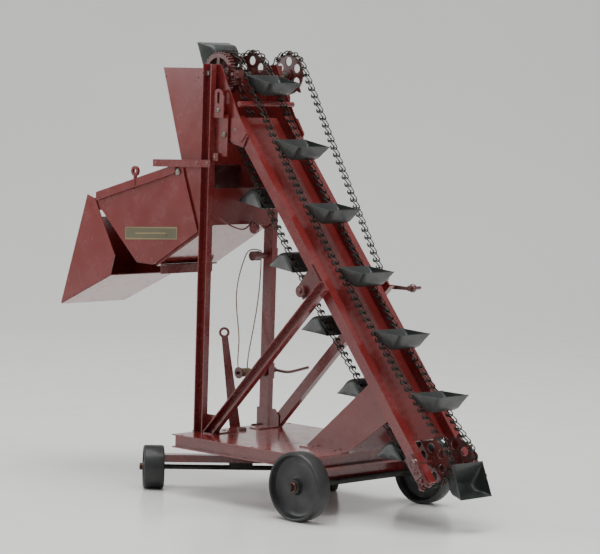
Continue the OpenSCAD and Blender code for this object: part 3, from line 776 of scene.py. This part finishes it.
def crank_handle(bm):
    o = at(CRANK.x, 0, CRANK.z)
    toothed(bm, o + Y * 70 * MM, 8.6, 6, 11.0, 1.5, 2.5, 0.14)
    block(bm, [o + Vector((-2.6, 79.6, -2.4)) * MM, o + Vector((28.4, 79.6, -1.7)) * MM, o + Vector((32.2, 79.6, -1.5)) * MM,
               o + Vector((32.2, 79.6, 1.5)) * MM, o + Vector((28.4, 79.6, 1.7)) * MM, o + Vector((-2.6, 79.6, 2.4)) * MM], Y, 2.6 * MM)
    grip = [(0, -0.4), (2.6, -0.3), (2.7, 0), (2.0, 0.6), (1.7, 1.2), (1.7, 2.8), (3.3, 3.2), (4.3, 4.6), (4.5, 6.2), (4.0, 8.0),
            (2.9, 9.3), (1.9, 10.2), (1.8, 11.5), (1.8, 17.2), (1.5, 17.8), (0, 18.0)]
    lathe(bm, grip, o + Vector((30, 82, 0)) * MM, Y, 28)


piece("crank_handle", crank_handle, DARK_RED, body_of("crank_shaft"), smooth=35)

# ---- rivets, screws and bolts ----
NEAR, FAR = -Y, Y
both = ((-1, NEAR), (1, FAR))


def chassis_rivets(bm):
    for s, out in both:
        for z in (68, 76):
            rivet(bm, at(6.3, s * 44.6, z), out, 1.9, 0.9)
        for t in (-5, 8, 200):
            c, k = math.cos(math.radians(46.5)), math.sin(math.radians(46.5))
            rivet(bm, at(32 + t * c - 5.5 * k, s * 44.65, 66 + t * k + 5.5 * c), out, 1.9, 0.9)
        for x in (-64, -4, 11):
            rivet(bm, at(x, s * 51.65, 331 + (x + 69) * 0.0393), out, 1.7, 0.8)
        for x, z in ((17, 23), (24, 24)):
            rivet(bm, at(x, s * z, 62.2), Z, 1.8, 0.8)
        for x in (150, 180):
            rivet(bm, at(x, s * 32, 62.2), Z, 1.9, 0.8)
        for x, z in ((-62, 420), (-15, 420), (5, 300), (5, 350), (-46, 262), (-60, 238)):
            rivet(bm, at(x, s * 42.8, z), out, 1.5, 0.6)
        for z in (402, 420):
            rivet(bm, at(6.3, s * 44.6, z), out, 1.6, 0.8)
        for x in (12, 62, 112, 162, 186):
            rivet(bm, at(x, s * 77, 61.0), Z, 1.6, 0.5)
    rivet(bm, at(19, 0, 63.05), Z, 4.4, 1.4, 28)


piece("chassis_rivets", chassis_rivets, RED, "chassis", smooth=50)


def head_screws(bm):
    for s, out in both:
        screw(bm, at(20.6, s * 47.6, 388), out, 2.6, 1.4, 1.0)
        screw(bm, at(27, s * 45, 364), out, 2.9, 1.4, 1.3)
        rivet(bm, at(17.5, s * 47.6, 341), out, 1.8, 0.8)
        rivet(bm, at(40, s * 41.6, 369), out, 2.0, 0.9)


piece("head_screws", head_screws, STEEL, "chassis", smooth=50)


def foot_bolts(bm):
    for s, out in both:
        for d in (0, 1):
            screw(bm, boom(472 + d * 9, s * 43.6, -3), out, 2.7 - d * 0.5, 1.4, 0.4 + d)
        for n in (-7, 1):
            tip = boom(488.6, s * 41, n)
            lathe(bm, [(1.7, -16), (1.7, -4), (3.2, -3.9), (3.3, -3.5), (3.3, -1.2), (3.1, -0.9), (1.7, -0.8), (1.7, 0.6), (1.3, 1.2), (0, 1.3)],
                  tip, ALONG, 6)
        lathe(bm, [(2.6, -0.8), (5.2, -0.8), (5.3, -0.2), (4.6, 0.8), (3.0, 1.2), (2.5, 2.0), (0, 2.2)], boom(464, s * 43.5, 0), out, 24)


piece("foot_bolts", foot_bolts, DARK_RED, "chassis", smooth=40)


def chute_rivets(bm):
    for s, out in both:
        for x, z in ((-150, 282), (-60, 312), (-104, 301.5), (-96, 232), (-74, 231)):
            rivet(bm, at(x, s * 45.0, z), out, 1.5, 0.6)


piece("chute_rivets", chute_rivets, RED, body_of("chute_box"), smooth=50)


def pivots(bm):
    for s, out in both:
        lathe(bm, [(0, 0.9), (1.6, 0.85), (2.9, 0.5), (3.5, 0), (3.5, -0.9)], at(-37.6, s * 46.5, 323.6), out, 28)


piece("chute_pivots", pivots, STEEL, "chassis", replaces=["chute_pins"])


def label_band(bm, corners, y, thick):
    block(bm, [at(x, y, z) for x, z in corners], NEAR, thick * MM)


BAND = [(-115.8, 248.6), (-36.5, 254), (-36.9, 267.2), (-116.2, 262)]
OLIVE = enamel("olive_transfer", (0.10, 0.085, 0.035), (0.07, 0.06, 0.026), wear=0.4, rough=0.35)
GILT = enamel("gilt_transfer", (0.34, 0.24, 0.09), (0.24, 0.17, 0.07), wear=0.4, rough=0.35)
SLOT_OF[OLIVE] = SLOT_OF[GILT] = "painted_red"


def band_border(bm):
    c = [sum(p[k] for p in BAND) / 4 for k in (0, 1)]
    rim = [(c[0] + (x - c[0]) * 0.985, c[1] + (z - c[1]) * 0.93) for x, z in BAND]
    core = [(c[0] + (x - c[0]) * 0.970, c[1] + (z - c[1]) * 0.80) for x, z in BAND]
    for k in range(4):
        label_band(bm, [rim[k], rim[(k + 1) % 4], core[(k + 1) % 4], core[k]], -45.16, 0.08)
    label_band(bm, [(x, z) for x, z in ((-100, 255.7), (-52, 259.0), (-52, 260.2), (-100, 256.9))], -45.16, 0.08)


piece("chute_band", lambda bm: label_band(bm, BAND, -45.02, 0.14), OLIVE, body_of("chute_box"))
piece("chute_band_border", band_border, GILT, body_of("chute_box"))

# ---- frame nodes ----
PLATES = ("boom_floor", "hopper_floor", "deck_plate", "chute_cover", "hopper_shell", "chute_box", "deflector")
STEELS = ("head_shaft", "king_pin")
DARKS = ("head_gear", "click_pawl", "take_up_bearings", "sprockets", "foot_sprockets", "shaft_brackets", "cord_roller",
         "foot_shaft")
for name in NODES:
    if name in PLATES:
        keep(name, RED_FLOOR)
    elif name in STEELS:
        keep(name, STEEL)
    elif name in ("rear_axle", "front_axle"):
        keep(name, CHAIN)
    elif name in DARKS:
        keep(name, DARK_RED)
    elif name.startswith("bucket_") and name != "bucket_chains":
        keep(name, BUCKET)
    elif "wheel" in name:
        keep(name, WHEEL)
    elif name in ("bucket_chains", "drive_chain"):
        keep(name, CHAIN)
    elif name == "lift_cord":
        keep(name, STRING)
    elif name in ("winch", "crank_shaft", "chute_pins"):
        keep(name, STEEL)
    else:
        keep(name, RED)


# ---- floor, backdrop and lights ----
def backdrop():
    mesh = bpy.data.meshes.new("backdrop")
    bm = bmesh.new()
    ahead = Vector((-math.sin(math.radians(44.09)), math.cos(math.radians(44.09)), 0))
    right = Vector((ahead.y, -ahead.x, 0))
    line = [(-4.0, 0.0), (1.6, 0.0)]
    for k in range(1, 17):
        a = math.radians(90 * k / 16)
        line.append((1.6 + 1.4 * math.sin(a), 1.4 * (1 - math.cos(a))))
    line.append((3.0, 5.0))
    rows = [[bm.verts.new(ahead * d + right * w + Z * h) for w in (-6, 6)] for d, h in line]
    for a, b in zip(rows, rows[1:]):
        bm.faces.new((a[0], a[1], b[1], b[0]))
    bm.to_mesh(mesh)
    bm.free()
    for f in mesh.polygons:
        f.use_smooth = True
    obj = bpy.data.objects.new("backdrop", mesh)
    bpy.context.scene.collection.objects.link(obj)
    p = Paint("pale_paper")
    tone = p.ramp(p.noise(2.2, 3), [(0.3, (0.80, 0.80, 0.785)), (0.7, (0.83, 0.83, 0.815))])
    mesh.materials.append(p.finish(tone, p.ramp(p.noise(30, 4), [(0.3, 0.16), (0.7, 0.22)]), p.noise(400, 2), 0.03, 0.0002))
    p.shader.inputs["Specular IOR Level"].default_value = 0.35


backdrop()


def area(name, place, target, size, power, tint=(1, 1, 1)):
    data = bpy.data.lights.new(name, "AREA")
    data.shape = "RECTANGLE"
    data.size, data.size_y = size
    data.energy = power
    data.color = tint
    obj = bpy.data.objects.new(name, data)
    obj.location = place
    obj.rotation_mode = "QUATERNION"
    obj.rotation_quaternion = (Vector(target) - Vector(place)).to_track_quat("-Z", "Y")
    bpy.context.scene.collection.objects.link(obj)


world = bpy.data.worlds.new("studio")
world.use_nodes = True
world.node_tree.nodes["Background"].inputs["Color"].default_value = (0.93, 0.94, 0.93, 1)
world.node_tree.nodes["Background"].inputs["Strength"].default_value = 0.40
bpy.context.scene.world = world
area("top", (0.1, -0.1, 2.4), (0, 0, 0.1), (2.2, 1.9), 72)
area("left", (-1.7, -1.6, 1.1), (0, 0, 0.25), (1.2, 1.4), 20)
area("right", (1.9, 0.2, 1.2), (0.05, 0, 0.2), (1.0, 1.4), 11)
